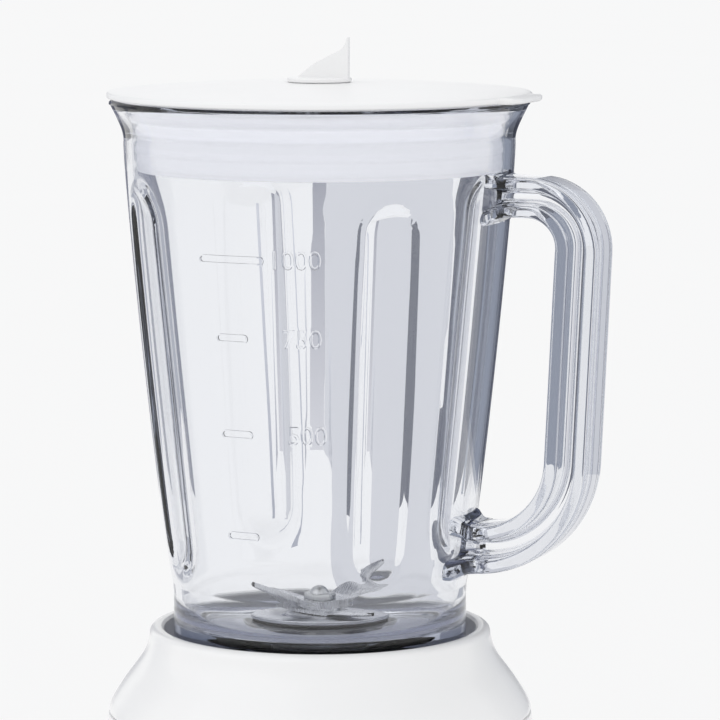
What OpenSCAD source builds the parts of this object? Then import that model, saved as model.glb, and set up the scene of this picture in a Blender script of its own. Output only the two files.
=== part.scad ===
// Countertop blender: glass jug with lid on a round motor base.
// Origin: on the common axis of jug and motor, at the plane the feet stand on.
// +Z up, the jug's handle towards +X, the speed knob towards -Y. Millimetres.

/* [Base] */
// Height of the collar's top edge above the table
collar_z = 118; // [112:1:130]
// Outer radius of the collar
collar_r = 55.5; // [55.2:0.1:56.5]
// Outer radius of the lower housing at the seam
body_r = 69; // [68:0.5:72]
// Height of the seam between the two housings
seam_z = 88; // [86:0.5:90]
// Wall of the plastic housings
shell_t = 2.6; // [2:0.1:3]
// Depth that the jug's foot stands in the collar
seat_depth = 14; // [12:0.5:15]
// Height of the rubber foot ring
foot_h = 4; // [3:0.5:5]

/* [Jug] */
// Wall of the glass
glass_t = 3.2; // [2.6:0.1:3.6]
// Height of the jug's rim above the collar
rim_h = 168.8; // [168.6:0.1:169.4]
// Radius of the groove cutter of the four flutes
flute_r = 16; // [14:0.5:20]
// Depth of a flute in the outer wall
flute_d = 4; // [3.4:0.1:4.4]
// Width of the handle
handle_w = 16.5; // [12:0.5:18]
// Thickness of each of the handle's two rails
rail_t = 4.4; // [3.5:0.1:5]
// Thickness of the web between the rails
web_t = 4; // [3:0.5:6]

/* [Lid] */
// Outer radius of the lid
lid_r = 68.3; // [67.8:0.1:69]
// Rise of the lid's dome
dome_h = 3; // [2:0.5:4]
// Radius of the filler cap
cap_r = 10.2; // [10:0.1:11]

/* [Drive] */
// Radius of the motor shaft and of the blade shaft
shaft_r = 4; // [3.5:0.1:4.5]
// Running clearance of a shaft in its bearing
run_gap = 0.05; // [0.03:0.01:0.08]
// Radius to the tips of the blades
blade_tip_r = 27; // [22:0.5:30]
// Outer radius of the stator stack
stator_r = 36; // [33:0.5:38]
// Radius of the rotor stack
rotor_r = 20; // [17:0.5:20.5]

/* [Controls] */
// Height of the speed knob's axis
knob_z = 48; // [44:1:54]
// Radius of the speed knob
knob_r = 19; // [16:0.5:21]

/* [Hidden] */

$fn = 64;

// Heights of the stack, from the table up
deck_z = collar_z - seat_depth;
plate_z = foot_h;
plate_t = 3;
cup_r = 22;
cup_z = deck_z - 13;
floor_z = collar_z - 2;
floor_t = 4.5;
hub_z = floor_z + 3.7;
lip_z = collar_z - 2.3;
rim_z = collar_z + rim_h;
lid_z = rim_z + 0.4;

// Lip of the lower housing inside the upper one
lip_r = body_r - 1.5;
lip_h = 2.4;
deck_screw_r = 53.6;

// Jug foot and collar bore
foot_r = 47.6;
foot_skirt = 3.8;
collar_bore_r = foot_r + 3;
floor_hole_r = 16;

// Motor stack
stack_lo = 48;
stack_hi = 72;
top_bar_z = 80;
bottom_bar_z = 11;
bar_t = 4;
bolt_x = 31;
bolt_r = 2;

// The wall's slope, which the flutes follow
wall_slope = 0.103;
wall_tilt = atan(wall_slope);
flute_lo = 29;
flute_hi = 130;
flute_mid_h = 80;
flute_mid_r = 56.4;
flute_angles = [45, 135, 225, 315];

// Cubic curve through four control points, as n + 1 points
function curve(a, b, c, d, n) = [for (i = [0:n]) let (t = i / n, u = 1 - t)
    u * u * u * a + 3 * u * u * t * b + 3 * u * t * t * c + t * t * t * d];

// Arc about c from angle a0 to a1, as n + 1 points
function arc(c, r, a0, a1, n) = [for (i = [0:n]) let (a = a0 + (a1 - a0) * i / n)
    c + r * [cos(a), sin(a)]];

// Points shifted by v
function shifted(pts, v) = [for (p = pts) p + v];

// Jug wall, radius and height above the collar: foot to neck, then the flare
function wall_pts(n) = curve([47.9, 12], [52.9, 36.5], [63.8, 150], [63, 156], n);
function flare_pts(n) = curve([63, 156], [63, 159.5], [65.6, 163.5], [67.3, 167.4], n);

// Ring about +Z between two radii, from z0 to z1
module ring(r_in, r_out, z0, z1) {
    translate([0, 0, z0]) difference() {
        cylinder(r = r_out, h = z1 - z0);
        translate([0, 0, -1]) cylinder(r = r_in, h = z1 - z0 + 2);
    }
}

// Disc about +Z from z0 to z1
module disc(r, z0, z1) {
    translate([0, 0, z0]) cylinder(r = r, h = z1 - z0);
}

// Copies at n equal angles about +Z, starting at a0
module around(n, a0 = 0) {
    for (i = [0:n - 1]) rotate([0, 0, a0 + 360 * i / n]) children();
}

// ---------------------------------------------------------------- base

function shoulder_pts() = curve([collar_r, lip_z - 1.6], [56.6, collar_z - 14],
    [60.4, collar_z - 14], [body_r - 0.7, seam_z + 3], 9);

module upper_housing() {
    shelf_z = deck_z - 4;
    color("white") difference() {
        union() {
            rotate_extrude() polygon(concat(
                arc([collar_bore_r + 2, lip_z - 2], 2, 180, 90, 4),
                arc([collar_r - 2, lip_z - 2], 2, 90, 12, 4),
                shoulder_pts(),
                [[body_r - 0.2, seam_z + 1.6], [body_r - 0.2, seam_z]],
                [[lip_r + 0.1, seam_z], [lip_r + 0.1, seam_z + lip_h]],
                [[body_r - shell_t, seam_z + lip_h], [60.2, collar_z - 19]],
                [[56, collar_z - 14], [53.4, collar_z - 5]],
                [[53, collar_z - 5], [53, shelf_z], [collar_bore_r, shelf_z]]
            ));
            // Screw bosses inside the collar, for the seat deck
            around(3, 30) translate([deck_screw_r, 0, 0]) disc(2.8, shelf_z, deck_z + 2);
        }
        around(3, 30) translate([deck_screw_r, 0, 0]) disc(1.4, shelf_z - 1, deck_z + 0.5);
    }
}

module lower_housing() {
    color("white") difference() {
        union() {
            rotate_extrude() polygon(concat(
                [[body_r - shell_t, seam_z + 2], [lip_r, seam_z + 2]],
                [[lip_r, seam_z - 0.5], [body_r - 0.3, seam_z - 0.5]],
                curve([body_r, seam_z - 1.2], [body_r + 2, 70], [74, 40], [73, plate_z + 2], 8),
                [[72.2, plate_z], [72.2 - shell_t, plate_z]],
                curve([73 - shell_t, plate_z + 3], [74 - shell_t, 40],
                    [body_r + 2 - shell_t, 70], [body_r - shell_t, seam_z - 3], 8)
            ));
            // Screw bosses inside the wall
            around(4, 45) translate([63, 0, 0]) disc(4.2, plate_z + plate_t, 30);
            // Flat boss behind the dial
            intersection() {
                translate([0, -66, knob_z]) rotate([90, 0, 0]) cylinder(r = 27, h = 7.4);
                disc(74, 10, 86);
            }
        }
        around(4, 45) translate([63, 0, 0]) disc(1.6, plate_z + 1, 27);
        translate([0, -60, knob_z]) rotate([90, 0, 0]) cylinder(r = 14, h = 20);
        translate([0, 60, 22]) rotate([-90, 0, 0]) cylinder(r = 6, h = 20);
    }
}

module bottom_plate() {
    vent_w = 3;
    color("gainsboro") difference() {
        disc(69, plate_z, plate_z + plate_t);
        // Air slots below the fan
        for (x = [-4:4]) translate([x * 6 - vent_w / 2, -22, plate_z - 1])
            cube([vent_w, 44, plate_t + 2]);
        around(4, 45) translate([63, 0, 0]) disc(1.9, plate_z - 1, plate_z + 5);
        around(4, 0) translate([40, 0, 0]) disc(2.4, plate_z - 1, plate_z + 5);
    }
}

module foot_ring() {
    color("dimgray") ring(48, 59, 0, plate_z);
}

module housing_screws() {
    color("silver") around(4, 45) translate([63, 0, 0]) {
        disc(3.4, plate_z - 1.6, plate_z);
        disc(1.6, plate_z - 1, 22);
    }
}

module seat_deck() {
    color("darkgray") difference() {
        union() {
            ring(cup_r, collar_bore_r - 0.2, deck_z - 2.5, deck_z);
            ring(collar_bore_r - 3, 57.4, deck_z - 6.5, deck_z - 4);
            ring(collar_bore_r - 3, collar_bore_r - 0.2, deck_z - 6.5, deck_z);
            ring(cup_r, cup_r + 2.5, cup_z - 2.5, deck_z);
            ring(9, cup_r + 1, cup_z - 2.5, cup_z);
        }
        around(3, 30) translate([deck_screw_r, 0, 0]) disc(1.7, deck_z - 8, deck_z - 3);
    }
}

module deck_seal() {
    color("black") {
        ring(shaft_r + run_gap, 9, cup_z - 2.5, cup_z);
    }
}

module deck_screws() {
    color("silver") around(3, 30) translate([deck_screw_r, 0, 0]) {
        disc(3, deck_z - 8.1, deck_z - 6.5);
        disc(1.4, deck_z - 7, deck_z);
    }
}

// ---------------------------------------------------------------- motor

module motor_stator() {
    color("slategray") difference() {
        intersection() {
            disc(stator_r, stack_lo, stack_hi);
            translate([-40, -30, stack_lo - 1]) cube([80, 60, 40]);
        }
        disc(rotor_r + 1, stack_lo - 1, stack_hi + 1);
        // Winding windows either side of the two poles
        for (s = [-1, 1]) translate([0, s * 22, stack_lo - 1]) {
            translate([-23, -5, 0]) cube([12, 10, 40]);
            translate([11, -5, 0]) cube([12, 10, 40]);
        }
        for (s = [-1, 1]) translate([s * bolt_x, 0, stack_lo - 1])
            cylinder(r = bolt_r + 0.1, h = 40);
    }
}

module stator_coils() {
    over = 6;
    color("peru") for (s = [-1, 1]) translate([0, s * 22, 0]) {
        for (x = [-21.5, 12.5]) translate([x, -4, stack_lo - over])
            cube([9, 8, stack_hi - stack_lo + 2 * over]);
        for (z = [stack_lo - over, stack_hi + 1]) translate([-12.5, -4, z])
            cube([25, 8, over - 1]);
    }
}

// Cross bar with a bearing boss, and two legs down to the stack
module motor_bracket(z, leg_z0, leg_z1, boss_z0, boss_z1, bearing_r) {
    difference() {
        union() {
            translate([-36, -8, z]) cube([72, 16, bar_t]);
            disc(bearing_r + 3, boss_z0, boss_z1);
            for (s = [-1, 1]) translate([s * bolt_x, 0, leg_z0])
                cylinder(r = 4.5, h = leg_z1 - leg_z0);
        }
        disc(bearing_r, boss_z0 - 1, boss_z1 + 1);
        for (s = [-1, 1]) translate([s * bolt_x, 0, 0]) cylinder(r = bolt_r + 0.1, h = 100);
    }
}

module motor_top_bracket() {
    color("silver") motor_bracket(top_bar_z, stack_hi, top_bar_z, 79, 86, 9);
}

module motor_bottom_bracket() {
    color("silver") difference() {
        union() {
            motor_bracket(bottom_bar_z, bottom_bar_z + bar_t, stack_lo, bottom_bar_z, 18, 9);
            // Cross of feet for the rubber mounts
            for (a = [0, 90]) rotate([0, 0, a]) difference() {
                translate([-45, -6, bottom_bar_z]) cube([90, 12, bar_t]);
                if (a == 0) translate([-35, -9, bottom_bar_z - 1]) cube([70, 18, bar_t + 2]);
            }
        }
        disc(9, 0, 30);
        around(4) translate([40, 0, 0]) disc(2.4, 0, 30);
    }
}

module motor_bolts() {
    color("silver") for (s = [-1, 1]) translate([s * bolt_x, 0, 0]) {
        disc(3.6, bottom_bar_z - 2, bottom_bar_z);
        disc(bolt_r, bottom_bar_z - 1, top_bar_z + bar_t + 2);
        translate([0, 0, top_bar_z + bar_t]) cylinder(r = 3.8, h = 2.4, $fn = 6);
    }
}

module motor_mounts() {
    color("black") around(4, 0) translate([40, 0, 0])
        ring(2.4, 5, plate_z + plate_t, bottom_bar_z);
}

// Ball bearing with a groove in both faces, about +Z
module ball_bearing(z0, z1) {
    color("silver") difference() {
        ring(shaft_r, 9, z0, z1);
        ring(5.6, 7.4, z0 - 1, z0 + 0.6);
        ring(5.6, 7.4, z1 - 0.6, z1 + 1);
    }
}

module upper_bearing() {
    difference() {
        ball_bearing(79, 86);
        disc(shaft_r + run_gap, 70, 90);
    }
}

module lower_bearing() {
    difference() {
        ball_bearing(bottom_bar_z, 18);
        disc(shaft_r + run_gap, 5, 30);
    }
}

brush_z = 33;
commutator_r = 10.5;

module brush_holders() {
    plate_lo = brush_z - 6;
    color("saddlebrown") difference() {
        union() {
            // Insulating cross, held by the bracket's two legs
            translate([-38, -7, plate_lo]) cube([76, 14, 2]);
            translate([-7, -31, plate_lo]) cube([14, 62, 2]);
            disc(17, plate_lo, plate_lo + 2);
            for (a = [0, 180]) rotate([0, 0, a])
                translate([-5, 13, plate_lo + 1]) cube([10, 18, 9]);
        }
        for (a = [0, 180]) rotate([0, 0, a])
            translate([-3.1, 12, brush_z - 2.6]) cube([6.2, 17, 5.2]);
        disc(commutator_r + 1.5, 0, 60);
        for (s = [-1, 1]) translate([s * bolt_x, 0, 0]) cylinder(r = 4.5, h = 60);
    }
}

module carbon_brushes() {
    color("dimgray") for (s = [-1, 1])
        translate([-3, s > 0 ? commutator_r + 0.4 : -commutator_r - 12.4, brush_z - 2.5])
            cube([6, 12, 5]);
}

module motor_shaft() {
    color("silver") disc(shaft_r, 9, cup_z + 7);
}

module armature_core() {
    color("slategray") difference() {
        disc(rotor_r, stack_lo, stack_hi);
        around(12) translate([rotor_r - 1, 0, stack_lo - 1]) translate([-4, -1.2, 0])
            cube([6, 2.4, 40]);
        disc(shaft_r, 0, 100);
    }
}

module armature_windings() {
    color("peru") for (z = [[stack_lo - 7, stack_lo], [stack_hi, stack_hi + 6]]) {
        rotate_extrude() polygon([
            [shaft_r, z[0]], [13, z[0]], [17, z[0] + 2], [17, z[1] - 1.5],
            [15.5, z[1]], [shaft_r, z[1]]
        ]);
    }
}

module commutator() {
    color("orange") difference() {
        disc(commutator_r, brush_z - 5, brush_z + 5);
        around(12) translate([commutator_r - 0.9, -0.3, 0]) cube([2, 0.6, 60]);
        disc(shaft_r, 0, 60);
    }
}

module cooling_fan() {
    fan_z = 20;
    color("white") {
        ring(shaft_r, 8, fan_z - 1, fan_z + 6);
        ring(7, 26, fan_z - 1, fan_z + 0.6);
        around(9) translate([7.5, -0.7, fan_z]) rotate([0, 0, -18])
            cube([18, 1.4, 5.6]);
    }
}

// Three dogs standing on a hub, each 44 degrees wide
module dogs(z0, z1, a0) {
    around(3, a0) intersection() {
        ring(6.5, 15, z0, z1);
        translate([0, 0, z0]) linear_extrude(z1 - z0)
            polygon([[0, 0], [20, -8], [20, 8]]);
    }
}

module drive_coupling() {
    color("dimgray") {
        difference() {
            disc(17, cup_z + 1.2, cup_z + 5);
            disc(shaft_r, 0, 200);
        }
        dogs(cup_z + 4.9, cup_z + 10.5, 0);
    }
}

// ---------------------------------------------------------------- jug

module jug_outer() {
    rotate_extrude() translate([0, collar_z]) polygon(concat(
        [[0, -seat_depth], [foot_r, -seat_depth], [foot_r, 9]],
        wall_pts(14),
        flare_pts(5),
        arc([66.3, rim_h - 1.2], 1.2, 0, 90, 4),
        [[0, rim_h]]
    ));
}

module jug_cavity() {
    inner = [-glass_t, 0];
    rotate_extrude() translate([0, collar_z]) polygon(concat(
        [[0, floor_z - collar_z]],
        arc([foot_r - glass_t - 9, floor_z - collar_z + 9], 9, -90, 0, 5),
        shifted(wall_pts(14), inner),
        shifted(flare_pts(5), inner),
        [[67.3 - glass_t, rim_h + 1], [0, rim_h + 1]]
    ));
}

// Four round-ended grooves that follow the wall's slope
module flutes(r) {
    axis_r = flute_mid_r + (flute_r - flute_d) / cos(wall_tilt);
    for (a = flute_angles) rotate([0, 0, a])
        translate([axis_r, 0, collar_z + flute_mid_h]) rotate([0, wall_tilt, 0]) {
            translate([0, 0, flute_lo - flute_mid_h])
                cylinder(r = r, h = flute_hi - flute_lo);
            translate([0, 0, flute_lo - flute_mid_h]) sphere(r = r);
            translate([0, 0, flute_hi - flute_mid_h]) sphere(r = r);
        }
}

// Slope of the handle's upright part, and its depth from the outer edge to the inner one
handle_tilt = 0.049;
handle_d = 14.4;
// Outline of the handle at a depth d below its outer edge: radius, and height above the collar
function handle_x(z, d) = 97.4 - (121.5 - z) * handle_tilt - d;
function handle_line(d) =
    let (
        f = d / handle_d,
        z_hi = 146 - 12.7 * f,
        z_lo = 19 + 16 * f,
        r_hi = 22.9 - handle_d * f,
        r_lo = 37.8 - handle_d * f
    )
    concat(
        [[48, z_hi]],
        arc([handle_x(z_hi - r_hi, d) - r_hi, z_hi - r_hi], r_hi, 90, 0, 8),
        arc([handle_x(z_lo + r_lo, d) - r_lo, z_lo + r_lo], r_lo, 0, -90, 10),
        [[44, z_lo]]
    );
function reversed(p) = [for (i = [len(p) - 1:-1:0]) p[i]];

// Band of the handle between two depths, w wide
module handle_band(d0, d1, w) {
    translate([0, w / 2, collar_z]) rotate([90, 0, 0]) linear_extrude(w)
        polygon(concat(handle_line(d0), reversed(handle_line(d1))));
}

module jug() {
    color("lightsteelblue", 0.5) difference() {
        union() {
            difference() {
                jug_outer();
                flutes(flute_r);
            }
            handle_band(0, rail_t, handle_w);
            handle_band(rail_t - 0.2, handle_d - rail_t + 0.2, web_t);
            handle_band(handle_d - rail_t, handle_d, handle_w);
        }
        difference() {
            jug_cavity();
            flutes(flute_r + glass_t);
        }
        disc(foot_r - foot_skirt, deck_z - 1, floor_z - floor_t);
        disc(floor_hole_r, deck_z, floor_z + 1);
    }
}

module blade_gasket() {
    color("black") ring(floor_hole_r - 0.4, 22, floor_z, floor_z + 1.2);
}

module blade_carrier() {
    color("silver") difference() {
        union() {
            disc(22.5, floor_z + 1.2, hub_z);
            disc(15.4, deck_z + 1, hub_z);
            translate([0, 0, hub_z]) rotate_extrude()
                polygon([[0, 0], [13, 0], [11.4, 0.9], [0, 0.9]]);
        }
        disc(7, deck_z - 5, hub_z + 10);
    }
}

module bearing_bush() {
    color("darkgoldenrod") ring(shaft_r + run_gap, 7, deck_z + 3, hub_z - 1.3);
}

module shaft_seal() {
    color("black") ring(shaft_r + run_gap, 7, hub_z - 1.3, hub_z + 0.7);
}

module clamp_nut() {
    color("dimgray") difference() {
        disc(26, deck_z + 3, floor_z - floor_t);
        disc(15.4, deck_z - 1, floor_z + 1);
        around(6) translate([26, 0, 0]) disc(3, deck_z - 1, floor_z);
    }
}

// ---------------------------------------------------------------- blades

stack_z = hub_z + 1.2;
blade_t = 1.5;
spacer_t = 0.6;
nut_z = stack_z + 2 * blade_t + spacer_t;
thread_r = 2.5;

// Two-winged blade: a hub, and wings bent up by lift degrees, or down if negative
module blade(z0, lift, a0) {
    bend_r = 9.2;
    wing = (blade_tip_r - bend_r) / cos(lift) - 0.4;
    rotate([0, 0, a0]) translate([0, 0, z0]) difference() {
        union() {
            cylinder(r = 7.5, h = blade_t);
            for (a = [0, 180]) rotate([0, 0, a]) {
                translate([0, -5.6, 0]) cube([10, 11.2, blade_t]);
                translate([bend_r, 0, 0]) rotate([0, -lift, 0])
                    linear_extrude(blade_t) polygon([
                        [0, -5.4], [0.7 * wing, -5.4], [wing, -1.5],
                        [wing - 0.8, 2.5], [0.45 * wing, 5.4], [0, 5.4]
                    ]);
            }
        }
        translate([0, 0, -1]) cylinder(r = shaft_r, h = blade_t + 2);
    }
}

module blade_shaft() {
    color("silver") {
        disc(shaft_r, deck_z - 1, nut_z);
        disc(thread_r, nut_z - 1, nut_z + 2.2);
    }
}

module lower_blade() {
    color("silver") blade(stack_z, 5, 150);
}

module blade_spacer() {
    color("silver") ring(shaft_r, 6.5, stack_z + blade_t, stack_z + blade_t + spacer_t);
}

module upper_blade() {
    color("silver") blade(stack_z + blade_t + spacer_t, 24, 60);
}

module blade_nut() {
    color("silver") difference() {
        union() {
            translate([0, 0, nut_z]) cylinder(r = 5.4, h = 1.9, $fn = 6);
            translate([0, 0, nut_z + 1.7]) rotate_extrude() polygon(
                concat([[0, 0]], arc([0, -0.6], 3.2, 15, 90, 5)));
        }
        disc(thread_r, deck_z, nut_z + 2.2);
    }
}

module driven_coupling() {
    color("dimgray") {
        difference() {
            disc(17, deck_z - 1.8, deck_z + 0.8);
            disc(shaft_r, deck_z - 1, deck_z + 8);
        }
        dogs(deck_z - 7.4, deck_z - 1.7, 60);
    }
}

// ---------------------------------------------------------------- lid

skirt_r = 57.6;
skirt_h = 22.5;
cap_hole_r = 9.3;
lid_edge_z = lid_z + 2;

// Height of the lid's top surface at radius r
function dome_z(r) = lid_edge_z + dome_h * (1 - (r / lid_r) * (r / lid_r));

module lid() {
    n = 8;
    top = [for (i = [0:n]) let (r = cap_hole_r + (lid_r - 1.2 - cap_hole_r) * i / n)
        [r, dome_z(r)]];
    under = [for (i = [0:n]) let (r = skirt_r - 2.4 - (skirt_r - 2.4 - cap_hole_r) * i / n)
        [r, dome_z(r) - 2.4]];
    color("white") {
        rotate_extrude() polygon(concat(
            top,
            [[lid_r - 0.3, lid_edge_z - 0.3], [lid_r, lid_edge_z - 1]],
            [[lid_r, lid_z + 0.4], [lid_r - 0.5, lid_z]],
            [[skirt_r, lid_z], [skirt_r, lid_z - skirt_h]],
            [[skirt_r - 2.4, lid_z - skirt_h]],
            under
        ));
        // Tab over the handle
        intersection() {
            translate([60, -14, lid_z]) cube([20, 28, 2]);
            disc(72.8, lid_z - 1, lid_z + 4);
        }
    }
}

// Lip of the seal at height z above the collar, with a gap to the glass
function lip(z, r) = [[skirt_r + 0.9, z + 1.3], [r, z + 0.3], [r, z - 0.3],
    [skirt_r + 0.9, z - 0.9]];

module lid_seal() {
    color("whitesmoke") translate([0, 0, collar_z]) rotate_extrude() polygon(concat(
        [[skirt_r, 166.5], [skirt_r + 0.9, 166.5]],
        lip(163.4, 61.4), lip(158.6, 59.7), lip(153.2, 59.3), lip(149, 59.1),
        [[skirt_r + 0.9, 147.6], [skirt_r, 147.6]]
    ));
}

cap_z = dome_z(0) + 0.1;

// Outline of the cap's fin: distance from its tall edge, and height
fin_pts = [[0, 0], [0, 13], [0.5, 12.2], [1.2, 10.8], [2.4, 9.4], [4.6, 8.2], [7.4, 7],
    [10.4, 5.8], [12.6, 4.4], [14.6, 2.8], [18, 0]];

module filler_cap() {
    color("white") {
        rotate_extrude() polygon([
            [0, cap_z - 7], [7.6, cap_z - 7], [7.6, cap_z - 4.4], [8.2, cap_z - 4.4],
            [8.2, cap_z], [cap_r - 0.3, cap_z], [cap_r, cap_z + 0.3],
            [cap_r, cap_z + 0.9], [cap_r - 0.4, cap_z + 1.2], [0, cap_z + 1.2]
        ]);
        // Fin to lift the cap by
        translate([cap_r - 0.2, 1, cap_z + 1]) rotate([90, 0, 0]) linear_extrude(2)
            polygon([for (p = fin_pts) [-p[0], p[1]]]);
    }
}

module cap_ring() {
    color("whitesmoke") ring(7.6, 8.8, cap_z - 6.2, cap_z - 4.4);
}

// ---------------------------------------------------------------- controls

module rotary_switch() {
    color("black") difference() {
        translate([-14, -56, knob_z - 15]) cube([28, 12, 30]);
        translate([0, -40, knob_z]) rotate([90, 0, 0]) cylinder(r = 3 + run_gap, h = 30);
    }
    color("silver") difference() {
        translate([0, -56, knob_z]) rotate([90, 0, 0]) cylinder(r = 5, h = 8);
        translate([0, -40, knob_z]) rotate([90, 0, 0]) cylinder(r = 3 + run_gap, h = 30);
    }
}

module dial_ring() {
    color("lightgray") translate([0, 0, knob_z]) rotate([90, 0, 0]) {
        ring(16, 25, 73.4, 75);
        ring(5, 16.5, 64, 65.6);
        ring(12.2, 13.9, 64, 75);
        ring(12.2, 17, 73.4, 75);
    }
}

module speed_knob() {
    color("white") translate([0, 0, knob_z]) rotate([90, 0, 0]) difference() {
        union() {
            rotate_extrude() polygon([
                [0, 75.6], [knob_r, 75.6], [knob_r, 79], [knob_r - 1, 86],
                [knob_r - 2.6, 88.6], [0, 89.4]
            ]);
            // Pointer ridge across the face
            translate([-2, 2, 86]) cube([4, knob_r - 5, 4.2]);
        }
        translate([0, 0, 75]) cylinder(r = 3, h = 9);
    }
}

module switch_spindle() {
    color("silver") translate([0, 0, knob_z]) rotate([90, 0, 0])
        translate([0, 0, 46]) cylinder(r = 3, h = 38);
}

module cable_inlet() {
    color("black") translate([0, 0, 22]) rotate([-90, 0, 0]) {
        difference() {
            union() {
                translate([0, 0, 65]) cylinder(r = 5.9, h = 12);
                translate([0, 0, 75.2]) cylinder(r = 8, h = 2);
                translate([0, 0, 66]) cylinder(r = 8, h = 2.4);
            }
            translate([0, 0, 60]) cylinder(r = 3.4, h = 30);
        }
    }
}

upper_housing();
lower_housing();
bottom_plate();
foot_ring();
housing_screws();
seat_deck();
deck_seal();
deck_screws();
motor_stator();
stator_coils();
motor_top_bracket();
motor_bottom_bracket();
motor_bolts();
motor_mounts();
upper_bearing();
lower_bearing();
brush_holders();
carbon_brushes();
rotary_switch();
dial_ring();
cable_inlet();
motor_shaft();
armature_core();
armature_windings();
commutator();
cooling_fan();
drive_coupling();
jug();
blade_gasket();
blade_carrier();
bearing_bush();
shaft_seal();
clamp_nut();
blade_shaft();
lower_blade();
blade_spacer();
upper_blade();
blade_nut();
driven_coupling();
lid();
lid_seal();
filler_cap();
cap_ring();
speed_knob();
switch_spindle();
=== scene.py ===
import math

import bmesh
import bpy
from mathutils import Matrix, Vector


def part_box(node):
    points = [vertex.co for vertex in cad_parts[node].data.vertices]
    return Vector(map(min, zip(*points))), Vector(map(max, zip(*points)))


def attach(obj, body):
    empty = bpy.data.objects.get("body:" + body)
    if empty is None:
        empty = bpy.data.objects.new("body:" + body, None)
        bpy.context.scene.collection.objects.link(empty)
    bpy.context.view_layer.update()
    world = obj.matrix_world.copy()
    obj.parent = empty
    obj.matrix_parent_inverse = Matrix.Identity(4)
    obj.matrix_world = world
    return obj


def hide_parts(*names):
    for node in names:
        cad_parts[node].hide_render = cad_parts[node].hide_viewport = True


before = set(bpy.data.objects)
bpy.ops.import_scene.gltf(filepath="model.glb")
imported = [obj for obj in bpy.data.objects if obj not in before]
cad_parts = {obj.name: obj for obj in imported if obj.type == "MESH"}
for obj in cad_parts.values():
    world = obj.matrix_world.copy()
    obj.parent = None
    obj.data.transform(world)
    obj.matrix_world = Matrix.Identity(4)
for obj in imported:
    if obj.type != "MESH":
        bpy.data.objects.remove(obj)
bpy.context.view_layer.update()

bl_info = {
    "name": "Countertop Blender Kit",
    "version": (1, 0, 0),
    "blender": (4, 5, 0),
    "location": "3D View > Sidebar > Countertop Blender",
    "description": "Builds the visible pieces of a countertop blender around its packed frame",
    "category": "Add Mesh",
}

MM = 0.001
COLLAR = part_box("jug")[0].z / MM + 14.0
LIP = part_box("upper_housing")[1].z / MM - COLLAR
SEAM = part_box("upper_housing")[0].z / MM
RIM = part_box("jug")[1].z / MM - COLLAR
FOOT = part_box("jug")[0].z / MM - COLLAR
LID_RADIUS = -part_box("lid")[0].x / MM
LID_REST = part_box("jug")[1].z / MM + 0.4
CAP_REST = LID_REST + 5.1
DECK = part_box("seat_deck")[1].z / MM
INLET_AXIS = 22.0
KNOB_AXIS = (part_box("speed_knob")[0].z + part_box("speed_knob")[1].z) / 2 / MM
HANDLE_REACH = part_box("jug")[1].x / MM


# ------------------------------------------------------------------ settings


class JugSettings(bpy.types.PropertyGroup):
    """Sizes of the glass jug."""

    wall: bpy.props.FloatProperty(
        name="Wall", description="Thickness of the glass, in mm", default=3.2, unit="NONE")
    flute_radius: bpy.props.FloatProperty(
        name="Flute radius", description="Radius of a flute's round groove, in mm", default=16.0)
    flute_depth: bpy.props.FloatProperty(
        name="Flute depth", description="Depth of a flute in the outer wall, in mm", default=4.0)
    flute_soft: bpy.props.FloatProperty(
        name="Flute softness", description="How softly a flute's edge runs into the wall, in mm",
        default=0.55)
    rail: bpy.props.FloatProperty(
        name="Rail", description="Thickness of each rail of the handle, in mm", default=4.4)
    web: bpy.props.FloatProperty(
        name="Web", description="Thickness of the handle's web, in mm", default=4.0)
    grip_width: bpy.props.FloatProperty(
        name="Grip width", description="Width of the handle, in mm", default=16.5)
    tint: bpy.props.FloatVectorProperty(
        name="Glass tint", description="Colour that thick glass takes on", subtype="COLOR",
        default=(0.55, 0.58, 0.66), size=3, min=0.0, max=1.0)
    density: bpy.props.FloatProperty(
        name="Glass density", description="How strongly the glass takes on its tint, per metre", default=26.0)


class BodySettings(bpy.types.PropertyGroup):
    """Sizes and colours of the housings and the lid."""

    white: bpy.props.FloatVectorProperty(
        name="White", description="Colour of the white plastic", subtype="COLOR",
        default=(0.86, 0.86, 0.86), size=3, min=0.0, max=1.0)
    grey: bpy.props.FloatVectorProperty(
        name="Deck grey", description="Colour of the seat deck", subtype="COLOR",
        default=(0.34, 0.35, 0.40), size=3, min=0.0, max=1.0)
    knob_grooves: bpy.props.IntProperty(
        name="Knob grooves", description="Grip grooves round the speed knob", default=24, min=6)


class StageSettings(bpy.types.PropertyGroup):
    """Camera, lights and floor."""

    azimuth: bpy.props.FloatProperty(
        name="Azimuth", description="Where the camera stands, from the front towards the handle",
        default=math.radians(23.3), subtype="ANGLE")
    distance: bpy.props.FloatProperty(
        name="Distance", description="Camera's distance from the jug's axis", default=1.32,
        subtype="DISTANCE", unit="LENGTH")
    height: bpy.props.FloatProperty(
        name="Height", description="Camera's height above the table", default=0.3662,
        subtype="DISTANCE", unit="LENGTH")
    pitch: bpy.props.FloatProperty(
        name="Pitch", description="How far the camera looks down", default=math.radians(7.082),
        subtype="ANGLE")
    pan: bpy.props.FloatProperty(
        name="Pan", description="How far the camera looks to the right of the axis",
        default=math.radians(0.565), subtype="ANGLE")
    lens: bpy.props.FloatProperty(
        name="Lens", description="Focal length of the camera, in mm", default=205.5)
    backdrop: bpy.props.FloatProperty(
        name="Backdrop", description="Brightness of the surroundings", default=1.0, min=0.0)


# ------------------------------------------------------------------ shapes


def curve(a, b, c, d, steps):
    """Points along the cubic curve of four control points."""
    points = []
    for i in range(steps + 1):
        t = i / steps
        u = 1 - t
        weights = (u * u * u, 3 * u * u * t, 3 * u * t * t, t * t * t)
        points.append(tuple(sum(w * p[k] for w, p in zip(weights, (a, b, c, d))) for k in (0, 1)))
    return points


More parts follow.
